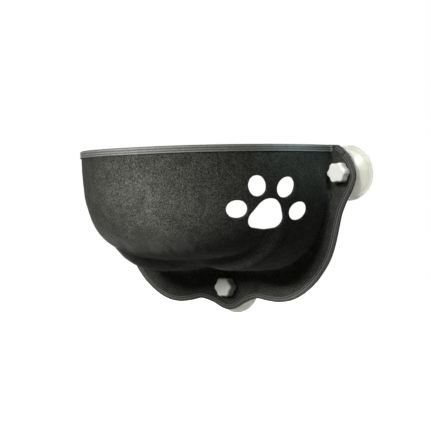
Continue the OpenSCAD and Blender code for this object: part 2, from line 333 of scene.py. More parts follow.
# Moves the points nearest to each outline on to it and leaves out the faces inside.
# The last result says which outline a point was moved to, or -1.
def cutSheet(points, faces, cuts):
    points = points.copy()
    state = np.ones(len(points), int)  # 1 outside, 0 on an outline, -1 inside
    owner = np.full(len(points), -1)
    corners = np.array([(*face, face[2])[:4] for face in faces])
    edges = np.concatenate([corners[:, pair] for pair in ([0, 1], [1, 2], [2, 3], [3, 0], [0, 2])])
    edges = np.unique(np.sort(edges[edges[:, 0] != edges[:, 1]], axis=1), axis=0)
    for index, cut in enumerate(cuts):
        flat = flatten(points, cut)
        far = np.max(cut["shape"]["width"]) + cutting["margin"]
        close = np.hypot(*(flat[:, :2] - cut["shape"]["middle"]).T) < far
        close &= np.abs(flat[:, 2]) < cut["reach"]
        value = np.full(len(points), np.inf)
        value[close] = outside(flat[close], cut)
        state[value < 0] = -1
        near = edges[close[edges].all(axis=1)]
        u, v = near[value[near[:, 0]] * value[near[:, 1]] < 0].T
        t = value[u] / (value[u] - value[v])
        hit = points[u] + (points[v] - points[u]) * t[:, None]
        moving = np.where(t < 0.5, u, v)
        order = np.argsort(-np.linalg.norm(hit - points[moving], axis=1))  # so the shortest move is made last
        points[moving[order]] = hit[order]
        state[moving] = 0
        owner[moving] = index
    kept = []
    for face in faces:
        if min(state[i] for i in face) == 1:
            kept.append(face)
            continue
        for part in [face] if len(face) == 3 else [face[:3], (face[0], *face[2:])]:
            marks = [state[i] for i in part]
            if min(marks) < 0:
                continue
            if max(marks) == 0:
                cut = cuts[owner[part[0]]]
                centre = points[list(part)].mean(axis=0)[None, :]
                if outside(flatten(centre, cut), cut)[0] < 0:
                    continue
            kept.append(part)
    return points, kept, owner


# The kept faces' open edge round each outline, as a closed ring of point numbers
def ringsRound(faces, owner, count):
    steps = [{} for _ in range(count)]
    for face in faces:
        for i, j in zip(face, onward(face)):
            if owner[i] == owner[j] and owner[i] >= 0:
                steps[owner[i]][i, j] = True
    rings = []
    for known in steps:
        follow = {i: j for i, j in known if (j, i) not in known}
        ring = [next(iter(follow))]
        while follow[ring[-1]] != ring[0]:
            ring.append(follow[ring[-1]])
        rings.append(ring)
    return rings


def angleRound(points, cut):
    flat = flatten(points, cut)[:, :2] - cut["shape"]["middle"]
    return np.arctan2(flat[:, 1], flat[:, 0])


# A ring turned to start at angle nought and run forwards, with its first point again at its end
def unrolled(ring, angles):
    turn = np.unwrap(angles)
    if turn[-1] < turn[0]:
        ring, turn = ring[::-1], turn[::-1]
    turn = np.mod(turn, 2 * math.pi)
    first = int(np.argmin(turn))
    ring = ring[first:] + ring[:first + 1]
    turn = np.concatenate([turn[first:], turn[:first], [turn[first] + 2 * math.pi]])
    return ring, turn


# Joins two rings of different counts that go round the same middle
def bridge(ringA, anglesA, ringB, anglesB):
    a, turnA = unrolled(ringA, anglesA)
    b, turnB = unrolled(ringB, anglesB)
    i = j = 0
    made = []
    while i < len(a) - 1 or j < len(b) - 1:
        if j == len(b) - 1 or (i < len(a) - 1 and turnA[i + 1] <= turnB[j + 1]):
            made.append((a[i], a[i + 1], b[j]))
            i += 1
        else:
            made.append((a[i], b[j + 1], b[j]))
            j += 1
    return made


# Makes an object from points in millimetres, with its faces turned outwards and its sharp edges marked
def meshFrom(name, points, faces, sharpAt=None, uv=None, weld=None):
    mesh = bpy.data.meshes.new(name)
    mesh.from_pydata((np.asarray(points) * mm).tolist(), [], [tuple(int(i) for i in f) for f in faces])
    mesh.validate()
    bm = bmesh.new()
    bm.from_mesh(mesh)
    if weld:
        bmesh.ops.remove_doubles(bm, verts=bm.verts, dist=weld * mm)
    bmesh.ops.recalc_face_normals(bm, faces=bm.faces)
    bm.to_mesh(mesh)
    bm.free()
    mesh.shade_smooth()
    if sharpAt:
        mesh.set_sharp_from_angle(angle=math.radians(sharpAt))
    if uv is not None:
        layer = mesh.uv_layers.new(name="lengthwise")
        spots = np.zeros(len(mesh.loops), np.int32)
        mesh.loops.foreach_get("vertex_index", spots)
        layer.data.foreach_set("uv", np.asarray(uv, np.float32)[spots].ravel())
    return addObject(name, mesh)


# Faces of a tube whose rings of points follow one another from the first point on
def tubeFaces(rings, sides, first=0):
    starts = [first + j * sides for j in range(rings)]
    return [(near + i, near + (i + 1) % sides, far + (i + 1) % sides, far + i)
            for near, far in zip(starts, starts[1:]) for i in range(sides)]


def endFaces(rings, sides, first=0):
    last = first + (rings - 1) * sides
    return [tuple(first + i for i in reversed(range(sides))), tuple(last + i for i in range(sides))]


def dress(obj, body, slot, material, *nodes):
    obj.data.materials.append(material)
    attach(obj, body)
    if nodes:
        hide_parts(*nodes)


# Node helpers for materials. An input is given by its name, or as i0, i1 and so on where names repeat.
def put(tree, kind, settings=None, **inputs):
    node = tree.nodes.new("ShaderNode" + kind)
    for name, value in (settings or {}).items():
        setattr(node, name, value)
    for name, value in inputs.items():
        socket = node.inputs[int(name[1:]) if name[1:].isdigit() else name.replace("_", " ")]
        if isinstance(value, bpy.types.NodeSocket):
            tree.links.new(value, socket)
        else:
            socket.default_value = value
    return node


def calc(tree, operation, *values):
    inputs = {f"i{k}": value for k, value in enumerate(values)}
    return put(tree, "Math", {"operation": operation}, **inputs).outputs[0]


def timesPlus(tree, value, share, base):
    return calc(tree, "MULTIPLY_ADD", value, share, base)


def multiplied(tree, vector, factors):
    return put(tree, "VectorMath", {"operation": "MULTIPLY"}, i0=vector, i1=factors).outputs[0]


def remap(tree, value, low, high, newLow=0.0, newHigh=1.0):
    return put(tree, "MapRange", Value=value, From_Min=low, From_Max=high,
               To_Min=newLow, To_Max=newHigh).outputs[0]


def noise(tree, place, scale, detail, roughness, distortion=0.0):
    return put(tree, "TexNoise", Vector=place, Scale=scale, Detail=detail, Roughness=roughness,
               Distortion=distortion).outputs["Fac"]


def mixColours(tree, share, first, second):
    return put(tree, "Mix", {"data_type": "RGBA"}, i0=share, i6=first, i7=second).outputs[2]


def ramp(tree, factor, *stops):
    node = put(tree, "ValToRGB", i0=factor)
    marks = node.color_ramp.elements
    while len(marks) < len(stops):
        marks.new(0.5)
    for mark, (at, colour) in zip(marks, stops):
        mark.position = at
        mark.color = (*colour, 1)
    return node.outputs["Color"]


def twoTone(tree, value, look):
    darkest, palest = look["range"]
    return ramp(tree, value, (darkest, look["dark"]), (palest, look["pale"]))


# A shared effect: every one is laid out by Place, has number inputs and gives out numbers
def makeGroup(name, numbers, outputs):
    group = bpy.data.node_groups.new(name, "ShaderNodeTree")
    group.interface.new_socket(name="Place", in_out="INPUT", socket_type="NodeSocketVector")
    for label, value in numbers.items():
        socket = group.interface.new_socket(name=label, in_out="INPUT", socket_type="NodeSocketFloat")
        socket.default_value = value
    for label in outputs:
        group.interface.new_socket(name=label, in_out="OUTPUT", socket_type="NodeSocketFloat")
    return group, group.nodes.new("NodeGroupInput").outputs


def closeGroup(group, **values):
    out = group.nodes.new("NodeGroupOutput").inputs
    for name, value in values.items():
        group.links.new(value, out[name.replace("_", " ")])
    return group


def useGroup(tree, group, **values):
    return put(tree, "Group", {"node_tree": group}, **values).outputs


def newMaterial(name, **sockets):
    material = bpy.data.materials.new(name)
    material.use_nodes = True
    tree = material.node_tree
    shader = tree.nodes["Principled BSDF"]
    for label, value in sockets.items():
        shader.inputs[label.replace("_", " ")].default_value = value
    return material, tree, shader.inputs


def objectPlace(tree):
    return put(tree, "TexCoord").outputs["Object"]


# Every surface gets its colour and its bump the same way; the depth is in metres
def surface(tree, shader, colour, height, strength, depth):
    tree.links.new(colour, shader["Base Color"])
    bump = put(tree, "Bump", Strength=strength, Distance=depth, Height=height)
    tree.links.new(bump.outputs[0], shader["Normal"])


# Matted fibres: long noise laid three ways, with flecks of the lighter and darker threads
fibreShape = {"turns": ((0.3, 0.5, 0.0), (1.5, 0.2, 1.1), (0.7, 1.4, 2.2)), "bend": 0.5, "fleckHeight": 0.6}


def fibreGroup():
    group, i = makeGroup("mattedFibres", {"Fleck Scale": 560.0, "Fibre Scale": 1500.0, "Stretch": 0.16},
                         ["Fleck", "Fibre", "Height"])
    fleck = noise(group, i["Place"], i["Fleck Scale"], detail=2.0, roughness=0.62)
    stretch = put(group, "CombineXYZ", X=i["Stretch"], Y=1.0, Z=1.0).outputs[0]
    strands = []
    for turn in fibreShape["turns"]:
        turned = put(group, "Mapping", Vector=i["Place"], Rotation=turn).outputs[0]
        strands.append(noise(group, multiplied(group, turned, stretch), i["Fibre Scale"], detail=1.0,
                             roughness=0.5, distortion=fibreShape["bend"]))
    most = calc(group, "MAXIMUM", calc(group, "MAXIMUM", strands[0], strands[1]), strands[2])
    height = timesPlus(group, fleck, fibreShape["fleckHeight"], most)
    return closeGroup(group, Fleck=fleck, Fibre=most, Height=height)


# Fine scuffs and dust for hard surfaces
scuffStretch = (1.0, 0.12, 0.35)


def scuffGroup():
    group, i = makeGroup("fineScuffs", {"Patch Scale": 40.0, "Line Scale": 900.0}, ["Patch", "Line"])
    patch = noise(group, i["Place"], i["Patch Scale"], detail=3.0, roughness=0.6)
    drawn = multiplied(group, i["Place"], scuffStretch)
    lines = noise(group, drawn, i["Line Scale"], detail=2.0, roughness=0.7)
    return closeGroup(group, Patch=patch, Line=lines)


# Crosswise ribs and lengthwise cords of woven tape, from a map that runs in millimetres along and across it
ribShape = {"crossHeight": 0.3, "cordHeight": 2.0}


def ribGroup():
    group, i = makeGroup("wovenRibs", {"Rib": 0.9, "Warp": 0.5, "Cord": 3.6},
                         ["Rib Mask", "Cord Mask", "Height"])
    split = put(group, "SeparateXYZ", Vector=i["Place"]).outputs

    def wave(axis, length, shape):
        turns = calc(group, "DIVIDE", split[axis], i[length])
        return calc(group, shape, calc(group, "MULTIPLY", turns, 2 * math.pi))

    rib, warp, cord = wave("X", "Rib", "SINE"), wave("Y", "Warp", "SINE"), wave("Y", "Cord", "COSINE")
    ribMask = timesPlus(group, rib, 0.5, 0.5)
    cordMask = timesPlus(group, cord, -0.5, 0.5)
    height = timesPlus(group, calc(group, "MULTIPLY", rib, warp), ribShape["crossHeight"], ribMask)
    height = timesPlus(group, cordMask, ribShape["cordHeight"], height)
    return closeGroup(group, Rib_Mask=ribMask, Cord_Mask=cordMask, Height=height)


mattedFibres, fineScuffs, wovenRibs = fibreGroup(), scuffGroup(), ribGroup()


# In each look the range is what runs from dark to pale, and the bump is its strength and its depth in metres
feltLook = {
    "dark": (0.007, 0.008, 0.006), "mid": (0.043, 0.045, 0.039), "pale": (0.125, 0.129, 0.117),
    "fibreShare": 0.35, "patchShare": 0.22, "patchScale": 55.0, "range": (0.62, 1.02), "bump": (0.7, 0.0006),
}


def feltMaterial(look):
    material, tree, shader = newMaterial("charcoalFelt", Roughness=0.95, Specular_IOR_Level=0.06,
                                         Sheen_Weight=0.45, Sheen_Roughness=0.35,
                                         Sheen_Tint=(0.55, 0.56, 0.54, 1))
    place = objectPlace(tree)
    fibres = useGroup(tree, mattedFibres, Place=place)
    patches = noise(tree, place, look["patchScale"], detail=3.0, roughness=0.6)
    tone = timesPlus(tree, fibres["Fibre"], look["fibreShare"], fibres["Fleck"])
    tone = remap(tree, timesPlus(tree, patches, look["patchShare"], tone), *look["range"])
    colour = ramp(tree, tone, (0.0, look["dark"]), (0.5, look["mid"]), (1.0, look["pale"]))
    surface(tree, shader, colour, fibres["Height"], *look["bump"])
    return material


# The board's cut foam and the sewing thread: fibres alone, at other scales
foamLook = {"dark": (0.014, 0.015, 0.014), "pale": (0.035, 0.036, 0.034), "range": (0.35, 0.7),
            "fleckScale": 1100.0, "fibreScale": 2200.0, "stretch": 0.5,
            "bumpFrom": "Height", "bump": (0.6, 0.0004)}
threadLook = {"dark": (0.030, 0.032, 0.031), "pale": (0.075, 0.076, 0.073), "range": (0.3, 0.8),
              "fleckScale": 2600.0, "fibreScale": 3600.0, "stretch": 0.4,
              "bumpFrom": "Fibre", "bump": (0.4, 0.0001)}


def fibresAt(tree, look):
    return useGroup(tree, mattedFibres, Place=objectPlace(tree), Fleck_Scale=look["fleckScale"],
                    Fibre_Scale=look["fibreScale"], Stretch=look["stretch"])


def fibreMaterial(name, look, **sockets):
    material, tree, shader = newMaterial(name, **sockets)
    fibres = fibresAt(tree, look)
    surface(tree, shader, twoTone(tree, fibres["Fleck"], look), fibres[look["bumpFrom"]], *look["bump"])
    return material


# Woven tape; the cord is the distance between two lengthwise cords, in millimetres like the rib and the warp
weaveLook = {"rib": 1.15, "warp": 0.8, "ribShare": 0.18, "cordShare": 0.75, "toneRange": (0.45, 1.45),
             "range": (0.0, 1.0), "fleckScale": 420.0, "fibreScale": 1800.0, "stretch": 0.3,
             "fibreHeight": 0.5, "bump": (0.55, 0.0004)}
rimClothLook = {**weaveLook, "dark": (0.075, 0.076, 0.073), "pale": (0.340, 0.346, 0.338), "cord": 4.6}
# The flange's tape is the same tape as the rim's, made darker: painted shade for the shadow its edge lies in
shadedEdgeClothLook = {**weaveLook, "dark": (0.020, 0.020, 0.019), "pale": (0.165, 0.163, 0.156), "cord": 4.4}


def tapeMaterial(name, look):
    material, tree, shader = newMaterial(name, Roughness=0.82, Specular_IOR_Level=0.2, Sheen_Weight=0.08,
                                         Sheen_Roughness=0.4, Sheen_Tint=(0.6, 0.62, 0.62, 1))
    lengthwise = put(tree, "UVMap", {"uv_map": "lengthwise"}).outputs[0]
    ribs = useGroup(tree, wovenRibs, Place=lengthwise, Rib=look["rib"], Warp=look["warp"], Cord=look["cord"])
    fibres = fibresAt(tree, look)
    tone = timesPlus(tree, ribs["Rib Mask"], look["ribShare"], fibres["Fleck"])
    tone = timesPlus(tree, ribs["Cord Mask"], look["cordShare"], tone)
    colour = twoTone(tree, remap(tree, tone, *look["toneRange"]), look)
    # Painted shade: in the crease behind each fold the colour goes toward the foam's dark
    paintedCreaseShade = put(tree, "Attribute", {"attribute_name": "paintedCreaseShade"}).outputs["Fac"]
    colour = mixColours(tree, paintedCreaseShade, colour, (*foamLook["dark"], 1))
    height = timesPlus(tree, fibres["Fibre"], look["fibreHeight"], ribs["Height"])
    surface(tree, shader, colour, height, *look["bump"])
    return material


# Plastics and metals: patches change the colour, and fine lines the roughness
plasticLook = {"patchScale": 55.0, "lineScale": 700.0, "range": (0.3, 0.6), "lineRange": (0.35, 0.7),
               "bumpFrom": "Patch"}
metalLook = {"patchScale": 220.0, "lineScale": 2600.0, "range": (0.35, 0.65), "lineRange": (0.3, 0.7),
             "bumpFrom": "Line", "bump": (0.2, 0.00005)}
cupLook = {**plasticLook, "dark": (0.80, 0.81, 0.71), "pale": (0.88, 0.89, 0.81),
           "rough": (0.28, 0.42), "bump": (0.25, 0.0002)}
knobLook = {**plasticLook, "dark": (0.79, 0.80, 0.74), "pale": (0.84, 0.85, 0.80),
            "rough": (0.26, 0.40), "bump": (0.25, 0.0001)}
steelLook = {**metalLook, "dark": (0.396, 0.4032, 0.4104), "pale": (0.55, 0.56, 0.57), "rough": (0.25, 0.5)}
brassLook = {**metalLook, "dark": (0.4464, 0.3168, 0.1224), "pale": (0.62, 0.44, 0.17), "rough": (0.25, 0.45)}


def hardMaterial(name, look, **sockets):
    material, tree, shader = newMaterial(name, **sockets)
    marks = useGroup(tree, fineScuffs, Place=objectPlace(tree), Patch_Scale=look["patchScale"],
                     Line_Scale=look["lineScale"])
    tree.links.new(remap(tree, marks["Line"], *look["lineRange"], *look["rough"]), shader["Roughness"])
    surface(tree, shader, twoTone(tree, marks["Patch"], look), marks[look["bumpFrom"]], *look["bump"])
    return material


charcoalFelt = feltMaterial(feltLook)
cutFoamEdge = fibreMaterial("cutFoamEdge", foamLook, Roughness=0.9, Specular_IOR_Level=0.15)
sewingThread = fibreMaterial("sewingThread", threadLook, Roughness=0.6, Specular_IOR_Level=0.35)
rimTapeCloth = tapeMaterial("greyRimTape", rimClothLook)
# The flange edge's darker copy of the tape is painted shade
shadedEdgeTapeCloth = tapeMaterial("shadedGreyEdgeTape", shadedEdgeClothLook)
milkyCup = hardMaterial("milkySoftPlastic", cupLook, Subsurface_Weight=0.2, Subsurface_Scale=0.004,
                        Subsurface_Radius=(1.0, 0.95, 0.8), Transmission_Weight=0.5, IOR=1.45)
whiteKnob = hardMaterial("whiteHardPlastic", knobLook, Subsurface_Weight=0.08, Subsurface_Scale=0.002,
                         Subsurface_Radius=(1.0, 0.9, 0.7))
zincSteel = hardMaterial("zincSteel", steelLook, Metallic=1.0)
yellowBrass = hardMaterial("yellowBrass", brassLook, Metallic=1.0)
print("materials made:", len(bpy.data.materials))


# Faces of the shell's grid, in which each end of the rim is one point for all the rows of the wall
def gridFaces(rows, cols):
    number = np.arange(rows * cols).reshape(rows, cols)
    for end in (0, -1):
        number[:pod["wallRows"] + 1, end] = number[0, end]
    faces = []
    for j in range(rows - 1):
        for i in range(cols - 1):
            ring = [number[j, i], number[j, i + 1], number[j + 1, i + 1], number[j + 1, i]]
            ring = [n for k, n in enumerate(ring) if n != ring[k - 1]]
            if len(ring) > 2:
                faces.append(tuple(ring))
    return number, faces


# Rows of points that round off one face's edge of a cut; toward is the way to the board's other face
def roundRows(ringPoints, cut, toward):
    middle = cut["origin"] + cut["shape"]["middle"] @ cut["axes"][:, :2].T
    deep = cut["axes"][:, 2]
    inward = middle - ringPoints
    inward = unit(inward - (inward @ deep)[:, None] * deep)
    made = []
    for turn in np.radians(cutting["roundTurns"]):
        sunk = deep * toward * cut["round"] * math.sin(turn)
        made.append(ringPoints + inward * cut["round"] * (1 - math.cos(turn)) + sunk)
    return made


# Leaves out the points that no face uses
def usedOnly(points, faces):
    used = sorted({int(i) for face in faces for i in face})
    renumber = {old: new for new, old in enumerate(used)}
    return points[used], [tuple(renumber[int(i)] for i in face) for face in faces]


# The moulded pod: a dense grid over the same curves, with the paws and the stud holes cut through
def buildShell():
    front, normals = shellGrid()
    front = front + normals * waves(front)[..., None]
    number, gridded = gridFaces(*front.shape[:2])
    cuts = openingsThrough()
    faceGrids = front, front - boardT * normals
    sheets = [cutSheet(toFrame(grid).reshape(-1, 3), gridded, cuts) for grid in faceGrids]
    rings = [ringsRound(faces, owner, len(cuts)) for _, faces, owner in sheets]
    points = [sheet[0] for sheet in sheets]
    shift = len(points[0])
    faces = sheets[0][1] + [tuple(i + shift for i in reversed(face)) for face in sheets[1][1]]
    for line in (number[0, :], number[-1, :], number[:, 0], number[:, -1]):
        faces += [(a, b, b + shift, a + shift) for a, b in zip(line[:-1], line[1:]) if a != b]
    count = 2 * shift
    foamFaces = []
    for index, cut in enumerate(cuts):
        ends = []
        for k in (0, 1):
            ring = rings[k][index]
            toward = np.sign(np.mean((points[1 - k] - points[k])[ring] @ cut["axes"][:, 2]))
            last = [i + k * shift for i in ring]
            for row in roundRows(points[k][ring], cut, toward):
                points.append(row)
                fresh = list(range(count, count + len(row)))
                faces += list(zip(last, onward(last), onward(fresh), fresh))
                count += len(row)
                last = fresh
            ends += [last, angleRound(points[-1], cut)]
        joined = bridge(*ends)
        foamFaces += range(len(faces), len(faces) + len(joined))
        faces += joined
    obj = meshFrom("moulded_felt_pod", *usedOnly(np.concatenate(points), faces), pod["sharpAt"])
    dress(obj, "perch", "felt_shell", charcoalFelt, "pod_shell")
    obj.data.materials.append(cutFoamEdge)
    slots = np.zeros(len(faces), np.int32)
    slots[foamFaces] = 1
    obj.data.polygons.foreach_set("material_index", slots)
    return obj


shellPiece = buildShell()
print("shell made:", len(shellPiece.data.polygons), "faces")


# Binding tape: a folded strip sewn over the edge, thin at the seam and full beside it.
# Its section is [out from the board's face, up over the edge]; the back is the same, turned round.
rimTape = {"leg": 11, "seam": 7.7, "ridge": 9.4, "full": 1.8, "thin": 0.45, "body": 1.15, "stitch": 3.3}
flangeTape = {"leg": 8, "seam": 5.7, "ridge": 6.9, "full": 1.5, "thin": 0.45, "body": 1.05, "stitch": 3.3}
tapeLook = {
    "step": 1.1, "under": -0.2, "overEdge": 0.85, "sharpAt": 60,
    "puff": 0.1, "puffLength": 17, "puffDrift": 1.5, "driftLength": 23,  # it is sewn down a little unevenly
    "puffFrom": 0.3,  # only what stands further out than this puffs and lifts
    "foldRise": 1.2, "foldFall": 3.0, "crease": 1.4, "creaseShare": 0.8, "edgeShare": 0.6,
}


def tapeSection(tape):
    leg, seam, ridge, full, thin, body = [tape[k] for k in ("leg", "seam", "ridge", "full", "thin", "body")]
    side = [(tapeLook["under"], -leg + 0.05), (0.25, -leg), (0.75 * full, -leg + 0.1),
            (0.97 * full, -(leg + ridge) / 2), (full, -ridge), (0.93 * full, -ridge + 0.5),
            (0.5 * (full + thin), -seam - 0.55), (thin, -seam - 0.15), (thin, -seam + 0.15),
            (0.55 * (body + thin), -seam + 0.6), (body, -seam + 1.4), (1.08 * body, -seam * 0.55),
            (1.05 * body, -seam * 0.3), (0.95 * body, -0.7), (0.8 * body, 0.0), (0.5 * body, 0.45),
            (0.0, 0.72), (-0.8, tapeLook["overEdge"])]
    return np.array(side + [(-boardT - out, up) for out, up in reversed(side)])


def arcLengths(path):
    return np.concatenate([[0], np.cumsum(np.linalg.norm(np.diff(path, axis=0), axis=1))])


def readAlong(s, field, at):
    return np.stack([np.interp(at, s, field[:, k]) for k in range(3)], -1)


# The same path and directions at even steps
def resample(step, *fields):
    s = arcLengths(fields[0])
    at = np.linspace(0, s[-1], int(round(s[-1] / step)) + 1)
    return at, [readAlong(s, field, at) for field in fields]


# A fold is [place, half width, height]: an overlap where the strip was joined or tucked, behind a crease
def foldAt(s, folds):
    lift, paintedCreaseShade = np.zeros_like(s), np.zeros_like(s)
    for at, width, height in folds:
        rise = smooth((s - at + width) / tapeLook["foldRise"])
        crease = np.exp(-((s - at + width + tapeLook["foldRise"]) / tapeLook["crease"]) ** 2)
        lift += height * rise * smooth((at + width - s) / tapeLook["foldFall"])
        lift -= tapeLook["creaseShare"] * height * crease
        # The crease also gives a mask of painted shade for the tape's colour
        paintedCreaseShade = np.maximum(paintedCreaseShade, crease)
    return lift, paintedCreaseShade


def buildTape(name, node, tape, cloth, path, outs, ups, folds):
    s, (p, o, u) = resample(tapeLook["step"], path, outs, ups)
    o, u = unit(o), unit(u)
    section = tapeSection(tape)
    out, up = section.T
    front = out > -boardT / 2
    proud = np.where(front, out, -boardT - out)  # how far it stands off its own face of the board
    drift = tapeLook["puffDrift"] * np.sin(s / tapeLook["driftLength"])
    puff = 1 + tapeLook["puff"] * np.sin(2 * math.pi * s / tapeLook["puffLength"] + drift)
    lift, paintedCreaseShade = foldAt(s, folds)
    proud = np.where(proud > tapeLook["puffFrom"], proud * puff[:, None] + lift[:, None], proud)
    out = np.where(front, proud, -boardT - proud)
    up = up + np.where(up > 0, tapeLook["edgeShare"] * lift[:, None], 0)
    rings = p[:, None] + out[..., None] * o[:, None] + up[..., None] * u[:, None]
    uv = np.stack(np.broadcast_arrays(s[:, None], arcLengths(section)), -1)
    size = len(s), len(section)
    faces = tubeFaces(*size) + endFaces(*size)
    obj = meshFrom(name, toFrame(rings).reshape(-1, 3), faces, tapeLook["sharpAt"], uv.reshape(-1, 2))
    # The crease mask is kept on the points; the material darkens the colour there as painted shade
    marks = obj.data.attributes.new("paintedCreaseShade", "FLOAT", "POINT")
    marks.data.foreach_set("value", np.repeat(paintedCreaseShade, len(section)).astype(np.float32))
    dress(obj, "perch", "binding_tape", cloth, node)
    return s, p, o, u, lift


# Stitches lie in the seam's groove on both faces, each a short thread that dips at both ends
stitchShape = {
    "gap": 0.9, "radius": 0.3, "sides": 6, "rings": 5, "dip": 0.3, "raise": 0.12,
    "endShare": 0.12,  # what is left of the thread's section at the ends of a stitch
    "clear": 4,  # bare length at each end of the tape
}


def buildStitches(name, tape, s, p, o, u, lift):
    rings, sides = stitchShape["rings"], stitchShape["sides"]
    count = int((s[-1] - 2 * stitchShape["clear"]) / tape["stitch"])
    f = np.linspace(-1, 1, rings)
    middles = stitchShape["clear"] + (np.arange(count) + 0.5) * tape["stitch"]
    at = middles[:, None] + f * (tape["stitch"] - stitchShape["gap"]) / 2
    out, up = unit(readAlong(s, o, at)), unit(readAlong(s, u, at))
    raised = tape["thin"] + np.interp(at, s, lift) + stitchShape["raise"] - stitchShape["dip"] * f * f
    radius = stitchShape["radius"] * np.sqrt(np.maximum(stitchShape["endShare"], 1 - f ** 4))
    angles = anglesRound(sides)[:, None]
    spokes = out[..., None, :] * np.cos(angles) + up[..., None, :] * np.sin(angles)
    points = []
    for away in (raised, -boardT - raised):
        base = readAlong(s, p, at) + out * away[..., None] - up * tape["seam"]
        points.append(base[..., None, :] + radius[:, None, None] * spokes)
    faces = []
    for first in range(0, 2 * count * rings * sides, rings * sides):
        faces += tubeFaces(rings, sides, first) + endFaces(rings, sides, first)
    obj = meshFrom(name, toFrame(np.array(points)).reshape(-1, 3), faces)
    dress(obj, "perch", "binding_tape", sewingThread)


# The bindings' paths: places, outward directions and the ways over the edge
pathSteps = {"ear": 14, "earTurns": (90, 4), "rim": 500}


# Up the round at the right ear, round the rim and down the left ear's
def rimPath():
    turns = np.radians(np.linspace(*pathSteps["earTurns"], pathSteps["ear"]))
    right, left = [np.array([filletAt(b, turn) for turn in turns]) for b in (0.0, math.pi)]
    b = np.linspace(0, math.pi, pathSteps["rim"])
    stations = np.concatenate([right, np.stack([wall(b, 0), rimDir(b)], 1), left[::-1]])
    return stations[:, 0], stations[:, 1], np.broadcast_to([0.0, 0.0, 1.0], stations[:, 0].shape)


# Along the flange's edge from where the rim's binding comes down to it, and back on the mirrored side
def flangePath():
    start = filletAt(0.0, math.pi / 2)[0][0]
    half = edgeCurve[int(np.argmax(edgeCurve[:, 0] >= start)):]
    half = half[half[:, 0] >= 0]
    both = np.concatenate([half, half[-2::-1] * [-1, 1]])
    path = np.stack([both[:, 0], 0 * both[:, 0], both[:, 1]], 1)
    t = unit(np.gradient(path, axis=0))
    ups = np.stack([-t[:, 2], 0 * t[:, 0], t[:, 0]], 1)
    return path, np.broadcast_to([0.0, 1.0, 0.0], path.shape), ups


rim = buildTape("rim_tape", "rim_binding", rimTape, rimTapeCloth, *rimPath(), [(6, 4, 0.35)])
buildStitches("rim_stitches", rimTape, *rim)
edging = buildTape("flange_tape", "flange_binding", flangeTape, shadedEdgeTapeCloth, *flangePath(),
                   [(4.5, 3, 0.6), (30, 6, 0.95)])
buildStitches("flange_stitches", flangeTape, *edging)
print("bindings and stitches made")


weldDistance = 0.001  # for the rings that have no radius and the profiles that close


# Turned pieces: a profile of [radius, distance from the glass] spun about a stud's line.
# Where a piece isn't round, reachAt gives its radius in every direction.
def buildTurned(name, place, profile, piece, reachAt=None):
    angles = anglesRound(piece["sides"])
    right, up = knobCentre[place]
    points = []
    for r, h in profile:
        reach = reachAt(r, h, angles) if reachAt else r
        x, z = right + reach * np.cos(angles), up + reach * np.sin(angles)
        points.append(np.stack([x, np.full(len(angles), -h), z], 1))
    faces = tubeFaces(len(profile), len(angles))
    return meshFrom(name + place, np.concatenate(points), faces, piece["sharpAt"], weld=weldDistance)


# Rounds the corners of a profile, each by its own radius, which is nought at both ends
def rounded(corners, radii, steps):
    made = []
    for k, (corner, r) in enumerate(zip(corners, radii)):
        p = np.array(corner, float)
        if r == 0:
            made.append(p)
            continue
        before, after = np.array(corners[k - 1]) - p, np.array(corners[k + 1]) - p
        a, b = unit(before), unit(after)
        half = math.acos(max(-1, min(1, float(a @ b)))) / 2
        reach = min(r / math.tan(half), 0.45 * np.linalg.norm(before), 0.45 * np.linalg.norm(after))
        for f in np.linspace(0, 1, steps):
            made.append((1 - f) ** 2 * (p + a * reach) + 2 * f * (1 - f) * p + f * f * (p + b * reach))
    return made


# Suction cup: a dished face, a thin outer ring beyond a low bead, and a boss that holds the stud
cup = {"lipR": 46.5, "bossR": 13, "h": 18.5, "dish": 2.4, "studHole": 4.02, "studDeep": 6,
       "sides": 144, "steps": 6, "sharpAt": 40}


def cupProfile():
    lip, boss, hole, dish = cup["lipR"], cup["bossR"], cup["studHole"], cup["dish"]
    top, floor = cup["h"] - 0.02, cup["h"] - cup["studDeep"]
    body = [(0, dish, 0), (12, dish, 3), (24, 1.2, 8), (30, 0.05, 6), (lip - 0.4, 0.0, 0.3), (lip, 0.35, 0.3),
            (lip - 0.2, 0.85, 0.3), (44.6, 1.15, 1.0), (42.6, 1.2, 0.4), (42.1, 1.9, 0.4), (41.2, 2.2, 0.4),
            (40.4, 2.0, 0.4), (39.6, 3.5, 1.2), (36.5, 5.2, 6), (30, 7.9, 12), (21.5, 11.2, 10),
            (16.4, 14.2, 4), (14.6, 16.5, 3), (boss, 17.7, 0.6), (boss - 0.5, top, 0.4), (hole, top, 0.3),
            (hole, floor, 0), (0, floor, 0)]  # radius, distance from the glass, round
    return rounded([(r, y) for r, y, soft in body], [soft for r, y, soft in body], cup["steps"])


def buildCup(place):
    obj = buildTurned("milky_cup_", place, cupProfile(), cup)
    dress(obj, "perch", "cup_soft_plastic", milkyCup, "suction_cup_" + place)


# Threaded stud with a disc head: the thread is cut as a wave that climbs one pitch a turn
stud = {"r": 4, "pitch": 1.25, "cut": 0.62, "steep": 1.25, "crest": 0.1, "chamfer": 0.8, "plain": 1,
        "headR": 9, "headT": 2.5, "headY": 5, "headRound": 0.3, "sides": 40, "ringStep": 0.16, "sharpAt": 50}


def studProfile(endY):
    r, headR, y0, soft = stud["r"], stud["headR"], stud["headY"], stud["headRound"]
    y1 = y0 + stud["headT"]
    head = [(0, y0), (headR - soft, y0), (headR, y0 + soft), (headR, y1 - soft), (headR - soft, y1), (r, y1)]
    shank = [(r, h) for h in np.arange(y1 + stud["ringStep"], endY - 0.02, stud["ringStep"])]
    return head + shank + [(r - stud["chamfer"], endY), (0, endY)]


